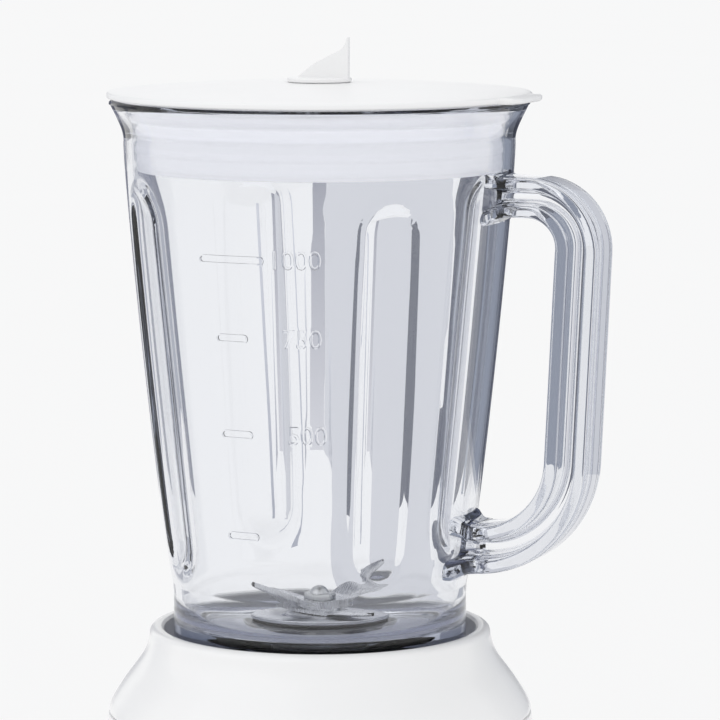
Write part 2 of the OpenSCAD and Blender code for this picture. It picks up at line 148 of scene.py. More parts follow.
def rounded(corners, steps=4):
    """Points of a closed outline; each corner is (x, z, radius of its rounding)."""
    points = []
    for i, (x, z, radius) in enumerate(corners):
        here = Vector((x, z))
        if not radius:
            points.append((x, z))
            continue
        before = Vector(corners[i - 1][:2]) - here
        after = Vector(corners[(i + 1) % len(corners)][:2]) - here
        half = before.angle(after) / 2
        reach = min(radius / math.tan(half), 0.48 * before.length, 0.48 * after.length)
        start = here + before.normalized() * reach
        end = here + after.normalized() * reach
        for k in range(steps + 1):
            t = k / steps
            points.append(tuple((1 - t) ** 2 * start + 2 * t * (1 - t) * here + t * t * end))
    return points


def spun(bm, outline, steps=160, z0=0.0):
    """Turns a closed outline of (radius, height) points round the upright axis."""
    verts = [bm.verts.new((max(r, 0.0), 0.0, z + z0)) for r, z in outline]
    edges = [bm.edges.new((verts[i - 1], verts[i])) for i in range(len(verts))]
    bmesh.ops.spin(
        bm, geom=verts + edges, cent=(0, 0, 0), axis=(0, 0, 1), angle=math.tau,
        steps=steps, use_merge=True)
    bmesh.ops.remove_doubles(bm, verts=bm.verts, dist=1e-4)
    on_axis = [e for e in bm.edges if all(v.co.xy.length < 1e-4 for v in e.verts)]
    bmesh.ops.delete(bm, geom=on_axis, context="EDGES")
    bmesh.ops.recalc_face_normals(bm, faces=bm.faces)


def sweep(bm, section, stations):
    """Drags a closed section through a row of matrices and caps both ends."""
    verts = [bm.verts.new(stations[0] @ Vector(p)) for p in section]
    edges = [bm.edges.new((verts[i - 1], verts[i])) for i in range(len(verts))]
    first = list(edges)
    for before, after in zip(stations, stations[1:]):
        made = bmesh.ops.extrude_edge_only(bm, edges=edges)["geom"]
        moved = [g for g in made if isinstance(g, bmesh.types.BMVert)]
        edges = [g for g in made if isinstance(g, bmesh.types.BMEdge)]
        bmesh.ops.transform(bm, matrix=after @ before.inverted(), verts=moved)
    for loop in (first, edges):
        bmesh.ops.contextual_create(bm, geom=loop)
    bmesh.ops.recalc_face_normals(bm, faces=bm.faces)


def block(bm, low, high, bevel, segments):
    """Rounded box between two corners."""
    low, high = Vector(low), Vector(high)
    size = high - low
    matrix = Matrix.Translation((low + high) / 2) @ Matrix.Diagonal((*size, 1.0))
    made = bmesh.ops.create_cube(bm, size=1.0, matrix=matrix)
    edges = {e for v in made["verts"] for e in v.link_edges}
    bmesh.ops.bevel(bm, geom=list(edges), offset=bevel, segments=segments, profile=0.5,
                    affect="EDGES", material=-1)


def copies(bm, verts, count):
    """Repeats the geometry of verts at equal angles round the upright axis."""
    faces = list({f for v in verts for f in v.link_faces})
    edges = list({e for v in verts for e in v.link_edges})
    for i in range(1, count):
        made = bmesh.ops.duplicate(bm, geom=list(verts) + edges + faces)["geom"]
        bmesh.ops.rotate(
            bm, verts=[g for g in made if isinstance(g, bmesh.types.BMVert)], cent=(0, 0, 0),
            matrix=Matrix.Rotation(math.tau * i / count, 3, "Z"))


def linked(name, data):
    """Object in the scene for its mesh or text."""
    obj = bpy.data.objects.new(name, data)
    bpy.context.scene.collection.objects.link(obj)
    return obj


def placed(name, bm):
    """Object in the scene from a bmesh, which is used up."""
    mesh = bpy.data.meshes.new(name)
    bm.to_mesh(mesh)
    bm.free()
    return linked(name, mesh)


def smoothed(obj, degrees=32.0):
    """Shades an object smooth, apart from edges that turn by more than an angle."""
    obj.data.polygons.foreach_set("use_smooth", [True] * len(obj.data.polygons))
    obj.data.set_sharp_from_angle(angle=math.radians(degrees))
    return obj


def mesh_object(name, bm, smooth=32.0):
    """Closes a bmesh in millimetres into an object in metres."""
    bmesh.ops.scale(bm, vec=(MM, MM, MM), verts=bm.verts)
    return smoothed(placed(name, bm), smooth)


def turned(name, outline, steps, z0=0.0, smooth=32.0):
    """Object turned from a closed outline of (radius, height) points."""
    bm = bmesh.new()
    spun(bm, outline, steps, z0)
    return mesh_object(name, bm, smooth)


def laid(bm, quarter, height):
    """Lays a turned form along Y, a quarter turn about X either way, at a height."""
    bmesh.ops.rotate(bm, verts=bm.verts, matrix=Matrix.Rotation(quarter * math.pi / 2, 3, "X"))
    bmesh.ops.translate(bm, verts=bm.verts, vec=(0, 0, height))


def declare(obj, material, body, slot, *replaced):
    """Gives a finished piece its material and body, and hides the CAD nodes it stands for; slot is not used.
    """
    obj.data.materials.clear()
    obj.data.materials.append(material)
    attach(obj, body)
    if replaced:
        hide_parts(*replaced)
    return obj


def combined(base, others, operation):
    """Applies boolean operations of other objects to base, and removes them."""
    for other in others:
        modifier = base.modifiers.new(operation, "BOOLEAN")
        modifier.operation = operation
        modifier.object = other
        modifier.solver = "MANIFOLD"
        graph = bpy.context.evaluated_depsgraph_get()
        mesh = bpy.data.meshes.new_from_object(base.evaluated_get(graph))
        base.modifiers.clear()
        old = base.data
        base.data = mesh
        bpy.data.meshes.remove(old)
        if not mesh.polygons:
            raise RuntimeError(f"{operation} with {other.name} left nothing")
        tool = other.data
        bpy.data.objects.remove(other)
        bpy.data.meshes.remove(tool)
    return base


# ------------------------------------------------------------------ materials


def fresh_material(name):
    """New material, with its nodes, its links and its shader."""
    material = bpy.data.materials.new(name)
    material.use_nodes = True
    nodes = material.node_tree.nodes
    shader = nodes["Principled BSDF"]
    return material, nodes, material.node_tree.links, shader


def noise(nodes, links, scale, detail=3.0, stretch=(1, 1, 1), roughness=0.5):
    """Noise on object coordinates, stretched along an axis if asked."""
    place = nodes.new("ShaderNodeTexCoord")
    mapping = nodes.new("ShaderNodeMapping")
    mapping.inputs["Scale"].default_value = stretch
    texture = nodes.new("ShaderNodeTexNoise")
    texture.inputs["Scale"].default_value = scale
    texture.inputs["Detail"].default_value = detail
    texture.inputs["Roughness"].default_value = roughness
    links.new(place.outputs["Object"], mapping.inputs["Vector"])
    links.new(mapping.outputs["Vector"], texture.inputs["Vector"])
    return texture.outputs["Fac"]


def varied_colour(nodes, links, shader, factor, colour, spread):
    """Colour that wanders a little about its mean."""
    ramp = nodes.new("ShaderNodeValToRGB")
    low, high = ramp.color_ramp.elements
    low.position, high.position = 0.3, 0.7
    low.color = (*[max(0.0, c * (1 - spread)) for c in colour], 1)
    high.color = (*[min(1.0, c * (1 + spread)) for c in colour], 1)
    links.new(factor, ramp.inputs["Fac"])
    links.new(ramp.outputs["Color"], shader.inputs["Base Color"])


def varied_roughness(nodes, links, shader, factor, low, high):
    """Roughness between two values."""
    span = nodes.new("ShaderNodeMapRange")
    span.inputs["From Min"].default_value = 0.3
    span.inputs["From Max"].default_value = 0.7
    span.inputs["To Min"].default_value = low
    span.inputs["To Max"].default_value = high
    links.new(factor, span.inputs["Value"])
    links.new(span.outputs["Result"], shader.inputs["Roughness"])


def bumped(nodes, links, shader, factor, depth, strength=1.0):
    """Relief of the given depth in metres."""
    bump = nodes.new("ShaderNodeBump")
    bump.inputs["Strength"].default_value = strength
    bump.inputs["Distance"].default_value = depth
    links.new(factor, bump.inputs["Height"])
    links.new(bump.outputs["Normal"], shader.inputs["Normal"])


def moulded(name, colour, rough=(0.3, 0.4), grain=900.0, depth=0.00001, spread=0.02, sheen=0.0):
    """Moulded plastic or rubber: faint colour drift, uneven gloss and a fine grain."""
    material, nodes, links, shader = fresh_material(name)
    drift = noise(nodes, links, 14.0)
    varied_colour(nodes, links, shader, drift, colour, spread)
    patch = noise(nodes, links, 60.0)
    varied_roughness(nodes, links, shader, patch, *rough)
    fine = noise(nodes, links, grain, 2.0)
    bumped(nodes, links, shader, fine, depth)
    shader.inputs["Sheen Weight"].default_value = sheen
    return material


def metal(name, colour, rough=(0.22, 0.38), stretch=(1, 1, 40), scale=60.0, depth=0.000006):
    """Metal with fine drawn lines along one axis."""
    material, nodes, links, shader = fresh_material(name)
    shader.inputs["Metallic"].default_value = 1.0
    lines = noise(nodes, links, scale, 4.0, stretch)
    varied_colour(nodes, links, shader, lines, colour, 0.08)
    varied_roughness(nodes, links, shader, lines, *rough)
    bumped(nodes, links, shader, lines, depth)
    return material


def wound(name, colour, pitch):
    """Enamelled copper winding: rows of wire as bands."""
    material, nodes, links, shader = fresh_material(name)
    shader.inputs["Metallic"].default_value = 0.85
    place = nodes.new("ShaderNodeTexCoord")
    bands = nodes.new("ShaderNodeTexWave")
    bands.bands_direction = "Z"
    bands.inputs["Scale"].default_value = 1.0 / pitch / 10.0
    bands.inputs["Distortion"].default_value = 0.6
    links.new(place.outputs["Object"], bands.inputs["Vector"])
    varied_colour(nodes, links, shader, bands.outputs["Fac"], colour, 0.3)
    varied_roughness(nodes, links, shader, bands.outputs["Fac"], 0.25, 0.45)
    bumped(nodes, links, shader, bands.outputs["Fac"], pitch / 3)
    return material


def clear_glass(name, settings):
    """Pressed glass: clear, slightly wavy, tinted where it is thick."""
    material, nodes, links, shader = fresh_material(name)
    shader.inputs["Base Color"].default_value = (0.985, 0.99, 1.0, 1)
    shader.inputs["Transmission Weight"].default_value = 1.0
    shader.inputs["IOR"].default_value = 1.5
    patch = noise(nodes, links, 30.0)
    varied_roughness(nodes, links, shader, patch, 0.0, 0.012)
    waves = noise(nodes, links, 45.0, 1.0, (1, 1, 0.35))
    bumped(nodes, links, shader, waves, 0.00006)
    absorb = nodes.new("ShaderNodeVolumeAbsorption")
    absorb.inputs["Color"].default_value = (*settings.tint, 1)
    absorb.inputs["Density"].default_value = settings.density
    output = nodes["Material Output"]
    links.new(absorb.outputs["Volume"], output.inputs["Volume"])
    return material


def silicone_painted_glow(name):
    """Soft white silicone, drawn opaque, with a painted glow that lightens it where it lies in shade."""
    material, nodes, links, shader = fresh_material(name)
    drift = noise(nodes, links, 25.0)
    varied_colour(nodes, links, shader, drift, (0.9, 0.9, 0.92), 0.01)
    varied_roughness(nodes, links, shader, drift, 0.3, 0.42)
    # Painted light: a faint bluish glow makes the silicone look lit, though it lies in shade under the lid
    # and behind the glass
    shader.inputs["Emission Color"].default_value = (0.93, 0.94, 1.0, 1)
    shader.inputs["Emission Strength"].default_value = 0.33
    fine = noise(nodes, links, 700.0, 2.0)
    bumped(nodes, links, shader, fine, 0.00001)
    return material


MATERIALS = {}


def make_materials(scene):
    """Every finish of the blender, by its plain name."""
    body = scene.kit_body
    MATERIALS["glass"] = clear_glass("clear_glass", scene.kit_jug)
    MATERIALS["white"] = moulded("white_plastic", body.white, (0.2, 0.26), 700, 0.000004, 0.003)
    MATERIALS["lid"] = moulded("lid_plastic", body.white, (0.3, 0.36), 900, 0.000004, 0.003)
    MATERIALS["silicone"] = silicone_painted_glow("silicone_painted_glow")
    MATERIALS["deck"] = moulded("deck_plastic", body.grey, (0.4, 0.55), 800, 0.00002, 0.04)
    # Painted light: a little glow lightens the deck, which lies in shade in the collar under the glass foot
    deck_shader = MATERIALS["deck"].node_tree.nodes["Principled BSDF"]
    deck_shader.inputs["Emission Color"].default_value = (0.78, 0.82, 1.0, 1)
    deck_shader.inputs["Emission Strength"].default_value = 0.24
    MATERIALS["dial"] = moulded("dial_plastic", (0.5, 0.51, 0.54), (0.35, 0.45), 800, 0.00001, 0.03)
    MATERIALS["plate"] = moulded("plate_plastic", (0.62, 0.62, 0.62), (0.5, 0.6), 600, 0.00003, 0.03)
    MATERIALS["rubber"] = moulded("black_rubber", (0.025, 0.025, 0.03), (0.5, 0.7), 500, 0.00004, 0.2, 0.1)
    MATERIALS["foot"] = moulded("foot_rubber", (0.05, 0.05, 0.055), (0.6, 0.8), 400, 0.00005, 0.2, 0.15)
    MATERIALS["black"] = moulded("black_plastic", (0.02, 0.02, 0.024), (0.35, 0.5), 700, 0.00003, 0.2)
    MATERIALS["ink"] = moulded("dial_print", (0.12, 0.13, 0.15), (0.4, 0.5), 900, 0.000005, 0.1)
    MATERIALS["brown"] = moulded("phenolic", (0.16, 0.06, 0.025), (0.4, 0.55), 500, 0.00003, 0.25)
    MATERIALS["nylon"] = moulded("natural_nylon", (0.62, 0.6, 0.54), (0.4, 0.5), 400, 0.00002, 0.04)
    MATERIALS["carbon"] = moulded("carbon", (0.03, 0.03, 0.032), (0.45, 0.6), 900, 0.00004, 0.3)
    MATERIALS["steel"] = metal("blade_steel", (0.62, 0.63, 0.66), (0.18, 0.32), (40, 1, 1))
    MATERIALS["hub_steel"] = metal("hub_steel", (0.55, 0.56, 0.6), (0.2, 0.34), (1, 1, 40))
    MATERIALS["zinc"] = metal("zinc_plating", (0.6, 0.61, 0.62), (0.25, 0.42), (8, 8, 8))
    MATERIALS["core"] = metal("core_laminations", (0.2, 0.21, 0.23), (0.35, 0.5), (1, 1, 60), 80, 0.00003)
    MATERIALS["bronze"] = metal("sintered_bronze", (0.5, 0.33, 0.16), (0.4, 0.6), (6, 6, 6), 200, 0.00002)
    MATERIALS["copper_bars"] = metal("commutator_copper", (0.75, 0.38, 0.2), (0.2, 0.35), (1, 1, 30))
    MATERIALS["copper"] = wound("enamelled_copper", (0.6, 0.24, 0.1), 0.0009)


# ------------------------------------------------------------------ jug


def wall_curve(steps):
    """Outer wall, radius and height above the collar, foot to neck."""
    return curve((47.9, 12), (52.9, 36.5), (63.8, 150), (63, 156), steps)


def flare_curve(steps):
    """Outer wall from the neck to the rim."""
    return curve((63, 156), (63, 159.5), (65.6, 163.5), (67.3, 167.4), steps)


FLUTE_LOW, FLUTE_HIGH = 29.0, 130.0  # where the straight groove ends
FLUTE_FROM, FLUTE_TO = 4, 150  # heights that a flute can reach
FLUTE_SLOPE, FLUTE_MID, FLUTE_MID_RADIUS = 0.103, 80.0, 56.4


def cut_flutes(bm, settings, inset, widen, soft):
    """Presses the four flutes into a turned wall; inset is how far it lies inside the outer one."""
    reach = settings.flute_radius + inset + widen
    sink = reach - settings.flute_depth + 0.15 * widen
    for vert in bm.verts:
        height = vert.co.z - COLLAR
        if not FLUTE_FROM < height < FLUTE_TO:
            continue
        radius = vert.co.xy.length
        line = FLUTE_MID_RADIUS - inset + FLUTE_SLOPE * (height - FLUTE_MID)
        for quarter in range(4):
            turn = math.radians(45 + 90 * quarter)
            ahead = Vector((math.cos(turn), math.sin(turn)))
            if vert.co.xy.dot(ahead) < 0.8 * radius:
                continue
            aside = vert.co.xy.cross(ahead)
            beyond = max(0.0, FLUTE_LOW - height, height - FLUTE_HIGH)
            off = math.hypot(aside, beyond)
            if off > reach:
                continue
            ahead_now = vert.co.xy.dot(ahead)
            depth = math.sqrt(reach ** 2 - off ** 2) - sink - (line - ahead_now)
            depth = (depth + math.sqrt(depth ** 2 + soft ** 2)) / 2
            vert.co.x -= ahead.x * depth
            vert.co.y -= ahead.y * depth


def jug_outside(settings):
    """The jug's outer form as one solid."""
    foot = [(0, FOOT), (46.4, FOOT), (47.2, FOOT + 0.35), (47.6, FOOT + 1.2)]
    foot += [(47.6, FOOT + 1.2 + 1.8 * i) for i in range(1, 13)]
    rim = [(67.65, RIM - 1.3), (67.5, RIM - 0.6), (67.05, RIM - 0.15), (66.4, RIM)]
    bm = bmesh.new()
    outline = foot + wall_curve(88) + flare_curve(14)[1:] + rim + [(0, RIM)]
    spun(bm, outline, 288, COLLAR)
    cut_flutes(bm, settings, 0.0, 0.0, settings.flute_soft)
    return mesh_object("jug_glass", bm)


def jug_hollow(settings):
    """The space inside the jug as one solid."""
    wall = settings.wall
    corner = curve((34.0, -2), (41.5, -2), (44.7, 0.8), (44.7, 8.5), 12)
    outline = [(0, -2), (20, -2)] + corner
    outline += [(r - wall, h) for r, h in wall_curve(88)]
    outline += [(r - wall, h) for r, h in flare_curve(14)[1:]]
    outline += [(64.5, RIM - 0.9), (65.1, RIM - 0.3), (66.0, RIM), (66.2, RIM + 3), (0, RIM + 3)]
    bm = bmesh.new()
    spun(bm, outline, 288, COLLAR)
    cut_flutes(bm, settings, wall, 3.0, 3 * settings.flute_soft)
    return mesh_object("jug_hollow", bm)


def jug_underside():
    """The hollow under the jug's floor, and the hole in the floor."""
    low = FOOT - 2
    outline = rounded([
        (0, low, 0), (43.8, low, 0), (43.8, -6.5, 2.0), (16.0, -6.5, 0), (16.0, 4, 0), (0, 4, 0)])
    return turned("jug_underside", outline, 160, COLLAR)


HANDLE_DEPTH, HANDLE_SLOPE = 14.4, 0.049  # from outer to inner edge; lean of the upright part


def handle_solid(settings):
    """The handle's I-shaped section, dragged from the neck round to the foot."""
    depth, half, web = HANDLE_DEPTH, settings.grip_width / 2, settings.web / 2
    rail = settings.rail
    section = rounded([
        (0, -half, 2.0), (rail, -half, 2.0), (rail + 0.5, -web, 1.8), (depth - rail - 0.5, -web, 1.8),
        (depth - rail, -half, 2.0), (depth, -half, 2.0), (depth, half, 2.0), (depth - rail, half, 2.0),
        (depth - rail - 0.5, web, 1.8), (rail + 0.5, web, 1.8), (rail, half, 2.0), (0, half, 2.0)], 5)
    top_radius, low_radius = 22.9, 37.8
    tilt = math.atan(HANDLE_SLOPE)
    top, low = 146.0, 19.0
    arm, base = 0.882, 1.11  # depth of the upper arm and of the lower one, over the upright's

    def edge_x(height):
        return HANDLE_REACH - (top - top_radius - height) * HANDLE_SLOPE

    def on_circle(angle):
        return Vector((math.cos(math.radians(angle)), math.sin(math.radians(angle))))

    places = []  # spot, direction outwards in degrees, width and depth over the section's own
    for x, wide, deep in ((54, 1.5, 1.4), (59.5, 1.5, 1.4), (61.6, 1.42, 1.32), (62.8, 1.24, 1.16),
                          (64.5, 1.08, 1.04), (67, 1.0, 1.0), (72, 1.0, 1.0)):
        places.append((Vector((x, top + (deep - 1) * 5)), 90.0, wide, arm * deep))
    centre = Vector((edge_x(top - top_radius) - top_radius, top - top_radius))
    for i in range(16):
        angle = 90 - (90 + math.degrees(tilt)) * i / 15
        places.append((centre + top_radius * on_circle(angle), angle, 1.0, arm + (1 - arm) * i / 15))
    centre = Vector((edge_x(low + low_radius) - low_radius, low + low_radius))
    for i in range(21):
        angle = -math.degrees(tilt) - (90 - math.degrees(tilt)) * i / 20
        deep = 1.0 + (base - 1.0) * (i / 20) ** 2
        places.append((centre + low_radius * on_circle(angle), angle, 1.0, deep))
    for x, wide, deep in ((57.5, 1.0, 1.0), (54.4, 1.08, 1.03), (52.9, 1.24, 1.12), (51.4, 1.42, 1.26),
                          (49.5, 1.5, 1.34), (42, 1.5, 1.34)):
        places.append((Vector((x, low - (deep - 1) * 7)), -90.0, wide, base * deep))
    stations = []
    for spot, angle, wide, deep in places:
        inward = -Vector((math.cos(math.radians(angle)), 0, math.sin(math.radians(angle))))
        along = Vector((0, 1, 0)).cross(inward)
        matrix = Matrix((
            (inward.x * deep, 0, along.x, spot.x),
            (0, wide, 0, 0),
            (inward.z * deep, 0, along.z, spot.y + COLLAR),
            (0, 0, 0, 1)))
        stations.append(matrix)
    bm = bmesh.new()
    sweep(bm, [(d, y, 0) for d, y in section], stations)
    return mesh_object("jug_handle", bm)


def wall_radius(height):
    """Outer radius of the wall at a height above the collar."""
    points = wall_curve(60)
    for (r0, h0), (r1, h1) in zip(points, points[1:]):
        if h0 <= height <= h1:
            return r0 + (r1 - r0) * (height - h0) / (h1 - h0)
    return points[-1][0]


def wrapped(obj, middle, height, lift):
    """Bends a flat mark, drawn in x and y with z outwards, round the jug's wall."""
    mesh = obj.data
    for vert in mesh.vertices:
        x, y, z = (c / MM for c in vert.co)
        radius = wall_radius(height + y)
        turn = middle + x / wall_radius(height)
        reach = (radius + lift + z) * MM
        vert.co = (reach * math.cos(turn), reach * math.sin(turn), (COLLAR + height + y) * MM)
    mesh.update()


def tick_outline(bm, length, height=2.2, line=0.55, raised=0.45):
    """Long thin loop with round ends, raised off the wall."""
    half, radius = length / 2, height / 2
    path = []
    for side in (1, -1):
        for i in range(9):
            angle = math.radians(side * 90 - 22.5 * i if side > 0 else -90 - 22.5 * i)
            across = side * (half - radius) + radius * math.cos(angle)
            path.append(Vector((across, radius * math.sin(angle))))
        for k in range(1, 6):
            path.append(Vector((side * (half - radius) * (1 - k / 3), -side * radius)))
    steps = []
    for i, spot in enumerate(path):
        before, after = path[i - 1], path[(i + 1) % len(path)]
        run = (after - before).normalized()
        steps.append((spot, Vector((-run.y, run.x))))
    rings = []
    for spot, out in steps:
        ring = [bm.verts.new((*(spot + out * s * line / 2), t)) for s, t in
                ((-1, -0.25), (-0.7, raised), (0.7, raised), (1, -0.25))]
        rings.append(ring)
    for i, ring in enumerate(rings):
        other = rings[i - 1]
        for k in range(4):
            bm.faces.new((other[k - 1], other[k], ring[k], ring[k - 1]))
    bmesh.ops.recalc_face_normals(bm, faces=bm.faces)


def digits(text, size, name, depth=0.3, thin=-0.02, bevel=0.22):
    """Raised numerals, lying flat in x and y in metres."""
    data = bpy.data.curves.new(name, "FONT")
    data.body = text
    data.size = size * MM
    data.extrude = depth * MM / 2
    data.offset = thin * size * MM
    data.bevel_depth = bevel * MM
    data.bevel_resolution = 0
    data.resolution_u = 3
    data.align_y = "CENTER"
    holder = linked(name, data)
    graph = bpy.context.evaluated_depsgraph_get()
    mesh = bpy.data.meshes.new_from_object(holder.evaluated_get(graph))
    bpy.data.objects.remove(holder)
    bpy.data.curves.remove(data)
    return linked(name, mesh)


def joined(name, objects):
    """One object from several meshes."""
    bm = bmesh.new()
    for obj in objects:
        bm.from_mesh(obj.data)
        mesh = obj.data
        bpy.data.objects.remove(obj)
        bpy.data.meshes.remove(mesh)
    bmesh.ops.remove_doubles(bm, verts=bm.verts, dist=2e-6)
    bmesh.ops.scale(bm, vec=(1 / MM, 1 / MM, 1 / MM), verts=bm.verts)
    return mesh_object(name, bm)


GRADUATION = (  # height above the collar, tick's middle and length, numerals and where they start
    (122.1, -93.9, 22.0, "1000", -82.0),
    (97.4, -94.5, 10.4, "750", -78.3),
    (66.8, -94.5, 10.4, "500", -77.3),
    (34.0, -94.5, 10.4, "", 0.0),
)


def graduation_marks():
    """Raised ticks and numerals on the outside of the jug."""
    marks = []
    for height, middle, length, text, start in GRADUATION:
        bm = bmesh.new()
        tick_outline(bm, length)
        tick = mesh_object(f"tick_{int(height)}", bm)
        wrapped(tick, math.radians(middle), height, 0.0)
        marks.append(tick)
        if text:
            number = digits(text, 8.4, f"number_{text}")
            wrapped(number, math.radians(start), height, 0.12)
            marks.append(number)
    return joined("jug_graduation", marks)


class JugOperator(bpy.types.Operator):
    """Glass jug with its flutes, handle and raised graduation"""

    bl_idname = "blender_kit.jug"
    bl_label = "Glass Jug"

    def execute(self, context):
        settings = context.scene.kit_jug
        jug = jug_outside(settings)
        combined(jug, [handle_solid(settings), graduation_marks()], "UNION")
        combined(jug, [jug_hollow(settings), jug_underside()], "DIFFERENCE")
        smoothed(jug)
        declare(jug, MATERIALS["glass"], "jug", "glass", "jug")
        return {"FINISHED"}


# ------------------------------------------------------------------ lid


def dome(radius):
    """Height of the lid's top above its underside."""
    return 2.0 + 3.0 * (1 - (radius / LID_RADIUS) ** 2)


class LidOperator(bpy.types.Operator):
    """White lid with its plug, its tab over the handle and the seal round the plug"""

    bl_idname = "blender_kit.lid"
    bl_label = "Lid and Seal"

    def execute(self, context):
        plug, wall, depth = 57.6, 2.4, 22.5
        top = [(r, dome(r)) for r in (9.9, 18, 26, 34, 42, 50, 57, 62, 65.6)]
        edge = rounded([(65.6, dome(65.6), 0), (LID_RADIUS, 1.95, 0.9), (LID_RADIUS, 0.05, 0.8),
                        (plug + 1.2, 0.0, 0)], 5)[1:]
        under = [(plug, -1.2), (plug, 0.6 - depth), (plug - 0.5, -depth), (plug - wall + 0.5, -depth),
                 (plug - wall, 0.6 - depth), (plug - wall, -3.0), (plug - wall - 1.6, -0.9)]
        ceiling = [(r, dome(r) - 2.4) for r in (50, 42, 34, 26, 18, 12)]
        hole = [(9.3, dome(9.3) - 2.4), (9.3, dome(9.3) - 0.6), (9.5, dome(9.5) - 0.15)]
        lid = turned("lid_shell", top + edge + under + ceiling + hole, 200, LID_REST)
        bm = bmesh.new()
        corners = rounded([(58, -14, 0), (71.2, -14, 2.4), (72.7, -8, 3.0), (72.9, 0, 4.0),
                           (72.7, 8, 3.0), (71.2, 14, 2.4), (58, 14, 0)], 5)
        sweep(bm, [(x, y, 0) for x, y in corners],
              [Matrix.Translation((0, 0, LID_REST + z)) @ Matrix.Diagonal((s, s, 1, 1))
               for z, s in ((0.02, 0.992), (0.5, 1.0), (1.5, 1.0), (1.95, 0.992))])
        tab = mesh_object("lid_tab", bm)
        combined(lid, [tab], "UNION")
        smoothed(lid, 40)
        declare(lid, MATERIALS["lid"], "lid", "white_plastic", "lid")

        rows = [(plug + 0.02, 166.4, 0), (plug + 1.0, 166.4, 0.3)]
        for height, reach in ((163.4, 61.3), (158.6, 59.6), (153.2, 59.2), (148.6, 59.0)):
            rows += [(plug + 1.1, height + 1.5, 0.5), (reach, height + 0.45, 0.4),
                     (reach, height - 0.35, 0.3), (plug + 1.1, height - 1.1, 0.5)]
        rows += [(plug + 1.0, 146.6, 0.3), (plug + 0.02, 146.6, 0)]
        seal = turned("lid_seal_rings", rounded(rows, 3), 200, COLLAR, 50)
        declare(seal, MATERIALS["silicone"], "lid", "seal_silicone", "lid_seal")
        return {"FINISHED"}


class CapOperator(bpy.types.Operator):
    """Filler cap with its fin, and the ring that holds it in the lid"""

    bl_idname = "blender_kit.cap"
    bl_label = "Filler Cap"

    def execute(self, context):
        cap = turned("filler_cap_disc", rounded([
            (0, -7, 0), (7.4, -7, 0.6), (7.4, -4.4, 0), (8.2, -4.4, 0), (8.2, 0, 0),
            (10.3, 0, 0.35), (10.3, 1.3, 0.4), (0, 1.3, 0)]), 120, CAP_REST)
        bm = bmesh.new()
        outline = [(0, -0.4), (0, 13.1)]
        outline += curve((-0.35, 12.9), (-1.3, 8.6), (-4.2, 8.6), (-7.8, 6.6), 12)
        outline += curve((-8.6, 6.2), (-12.4, 4.6), (-14.6, 2.6), (-18.2, -0.4), 8)
        sweep(bm, [(x, 0, z) for x, z in outline],
              [Matrix.Translation((10.25, y, CAP_REST + 1.2)) @ Matrix.Translation((-5, 0, 4))
               @ Matrix.Diagonal((s, 1, s, 1)) @ Matrix.Translation((5, 0, -4))
               for y, s in ((-0.95, 0.985), (-0.75, 1.0), (0.75, 1.0), (0.95, 0.985))])
        fin = mesh_object("filler_cap_fin", bm)
        combined(cap, [fin], "UNION")
        cap.name = "filler_cap_body"
        smoothed(cap)
        declare(cap, MATERIALS["lid"], "cap", "white_plastic", "filler_cap")
        ring = turned("filler_cap_ring", rounded([
            (7.55, -6.3, 0.2), (8.8, -6.3, 0.6), (8.8, -4.5, 0.6), (7.55, -4.5, 0.2)]),
            96, CAP_REST, 50)
        declare(ring, MATERIALS["silicone"], "cap", "seal_silicone", "cap_ring")
        return {"FINISHED"}


# ------------------------------------------------------------------ base


class HousingOperator(bpy.types.Operator):
    """White upper housing with its collar and shoulder, and the lower housing"""

    bl_idname = "blender_kit.housings"
    bl_label = "Housings"

    def execute(self, context):
        collar = [(50.6, -17.8), (50.6, LIP - 2.2), (50.9, LIP - 0.9), (51.7, LIP - 0.15), (52.7, LIP),
                  (53.6, LIP - 0.1), (54.5, LIP - 0.5), (55.2, LIP - 1.2)]
        shoulder = curve((55.5, LIP - 2.0), (56.6, -14), (60.4, -14), (67.6, -26.4), 26)
        skirt = [(68.3, -27.8), (68.7, -29.0), (68.8, SEAM - COLLAR + 0.3), (68.6, SEAM - COLLAR)]
        inside = [(67.7, SEAM - COLLAR), (67.7, SEAM - COLLAR + 2.4), (66.4, SEAM - COLLAR + 2.4),
                  (60.2, -19), (56, -14), (53.4, -5), (53, -5.2), (53, -17.8)]
        upper = turned("upper_shell", collar + shoulder + skirt + inside, 240, COLLAR)
        declare(upper, MATERIALS["white"], "base", "white_plastic", "upper_housing")

        body = [(66.4, SEAM + 2), (67.5, SEAM + 2), (67.5, SEAM - 0.6), (68.5, SEAM - 0.6),
                (68.9, SEAM - 0.8), (69.05, SEAM - 1.5)]
        body += curve((69.1, SEAM - 2.5), (71, 70), (74, 40), (73, 8), 30)
        body += [(72.9, 6.0), (72.5, 4.6), (71.8, 4.0), (70.4, 4.0), (70.1, 4.6)]
        body += curve((70.4, 8), (71.4, 40), (68.4, 70), (66.4, SEAM - 3), 12)
        lower = turned("lower_shell", body, 240)
        bm = bmesh.new()
        spun(bm, rounded([(0, 62, 0), (26.6, 62, 0), (26.6, 73.2, 0.9), (0, 73.2, 0)]), 120)
        laid(bm, 1, KNOB_AXIS)
        boss = mesh_object("dial_boss", bm)
        hollow = []
        for radius, low, high, z, side in ((14.0, 58, 80, KNOB_AXIS, 1), (6.0, 58, 80, INLET_AXIS, -1)):
            bm = bmesh.new()
            spun(bm, [(0, low), (radius, low), (radius, high), (0, high)], 64)
            laid(bm, side, z)
            hollow.append(mesh_object("shell_hole", bm))
        hollow.append(turned("shell_room", [(0, 5), (66.0, 5), (66.0, 60), (64, 90), (0, 90)], 120))
        combined(lower, [boss], "UNION")
        combined(lower, hollow, "DIFFERENCE")
        smoothed(lower)
        declare(lower, MATERIALS["white"], "base", "white_plastic", "lower_housing")
        return {"FINISHED"}


